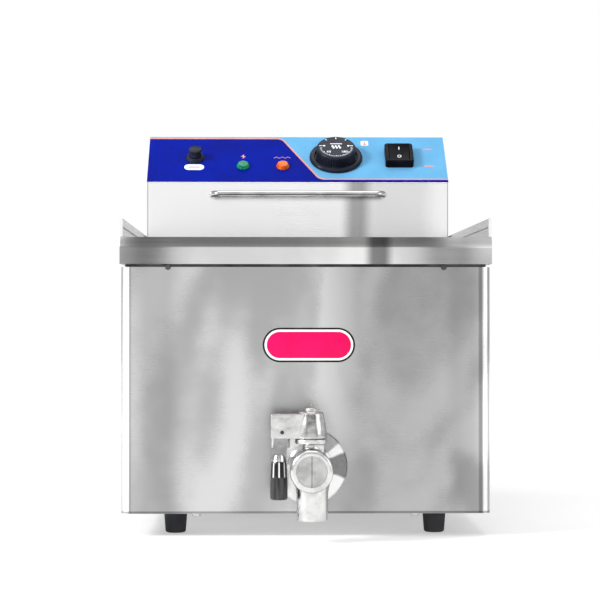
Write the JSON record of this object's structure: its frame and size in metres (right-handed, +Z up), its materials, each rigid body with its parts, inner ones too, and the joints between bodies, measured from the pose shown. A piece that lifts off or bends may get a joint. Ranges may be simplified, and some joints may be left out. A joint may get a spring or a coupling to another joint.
{
  "type": "countertop heated tank dispenser",
  "caption": "Countertop electric heated tank in a stainless cabinet, with a lift-off rear control head, splash tray and a front drain tap.",
  "frame": {"origin": "centre of the bounding box's footprint, on the surface that the feet stand on", "axes": "+Z up, -Y out of the front where the tap is, +X to the right as seen from the front"},
  "size_m": [0.302, 0.517, 0.36],
  "materials": {
    "cabinet_steel": "satin stainless sheet with soft cloudy reflections",
    "tray_steel": "bright satin stainless sheet",
    "polished_steel": "polished stainless",
    "cast_tap": "polished casting, slightly wavy",
    "sanded_tap": "sandy satin",
    "zinc_screws": "zinc plated",
    "black_rubber": "matt moulded rubber",
    "white_seat": "smooth white seal plastic",
    "black_plastic": "fine moulded grain",
    "switch_plastic": "semi-gloss moulded",
    "printed_label": "printed film in two blues with a pale orange line",
    "badge_enamel": "domed enamel, magenta with a pale inner line",
    "green_lens": "tinted moulded lens",
    "orange_lens": "tinted moulded lens",
    "pale_thermoset": "moulded"
  },
  "bodies": {
    "root": {"base_plate": "cabinet_steel", "front_panel": "cabinet_steel", "rear_panel": "cabinet_steel", "side_panel_left": "cabinet_steel", "side_panel_right": "cabinet_steel", "feet": "black_rubber", "foot_screws": "zinc_screws", "foot_nuts": "zinc_screws", "base_screws": "zinc_screws", "panel_screws": "zinc_screws", "tray_seal": "black_rubber", "tray_deck": "tray_steel", "front_apron": "tray_steel", "side_guard_left": "tray_steel", "side_guard_right": "tray_steel", "rear_guard": "tray_steel", "head_guides": "tray_steel", "tank": "tray_steel", "drain_nipple": "polished_steel", "nipple_nut": "polished_steel", "badge_plate": "badge_enamel", "tap_gasket": "black_rubber", "tap_flange": "polished_steel", "tap_body": "cast_tap", "tap_plug": "sanded_tap", "tap_seats": "white_seat", "tap_bonnet": "cast_tap"},
    "tap_lever": {"tap_ball": "cast_tap", "tap_stem": "cast_tap", "lever_hub": "cast_tap", "hub_screw": "zinc_screws", "lever_pin": "polished_steel"},
    "tap_handle": {"handle_shank": "polished_steel", "handle_ferrule": "cast_tap", "handle_grip": "black_plastic"},
    "control_head": {"head_cover": "tray_steel", "head_side_left": "tray_steel", "head_side_right": "tray_steel", "head_base": "tray_steel", "head_hooks": "tray_steel", "head_screws": "zinc_screws", "control_label": "printed_label", "hanger_bar": "polished_steel", "green_lens": "green_lens", "orange_lens": "orange_lens", "lamp_bodies": "pale_thermoset", "dial_bezel": "black_plastic", "thermostat_body": "pale_thermoset", "thermostat_bulb": "polished_steel", "switch_frame": "switch_plastic", "reset_bush": "black_plastic", "limit_cutout": "pale_thermoset", "heating_element": "polished_steel", "element_bracket": "polished_steel", "terminal_block": "black_plastic", "cable_gland": "black_plastic"},
    "dial": {"dial_knob": "black_plastic", "thermostat_shaft": "polished_steel"},
    "power_rocker": {"rocker": "switch_plastic"},
    "reset_button": {"reset_cap": "black_plastic"}
  },
  "joints": [
    {"name": "head_lift", "type": "slide", "parent": "root", "child": "control_head", "axis": [0, 0, 1], "range_m": [0, 0.24]},
    {"name": "dial_turn", "type": "hinge", "parent": "control_head", "child": "dial", "pos_m": [0.0385, 0.15811, 0.33586], "axis": [0, 0.6347, -0.7728], "range_deg": [0, 270]},
    {"name": "rocker_tilt", "type": "hinge", "parent": "control_head", "child": "power_rocker", "pos_m": [0.1011, 0.15588, 0.33856], "axis": [-1, 0, 0], "range_deg": [0, 20]},
    {"name": "reset_press", "type": "slide", "parent": "control_head", "child": "reset_button", "axis": [0, 0.6347, -0.7728], "range_m": [0, 0.003], "stiffness_N_per_m": 300, "springref_m": -0.002},
    {"name": "tap_turn", "type": "hinge", "parent": "root", "child": "tap_lever", "pos_m": [0.003, -0.2395, 0.057], "axis": [0, 0, 1], "range_deg": [0, 90]},
    {"name": "handle_fold", "type": "hinge", "parent": "tap_lever", "child": "tap_handle", "pos_m": [-0.02, -0.2395, 0.0872], "axis": [0, 1, 0], "range_deg": [0, 90]}
  ],
  "couplings": [
    {"joint": "handle_fold", "follows": "tap_turn", "ratio": 1}
  ]
}
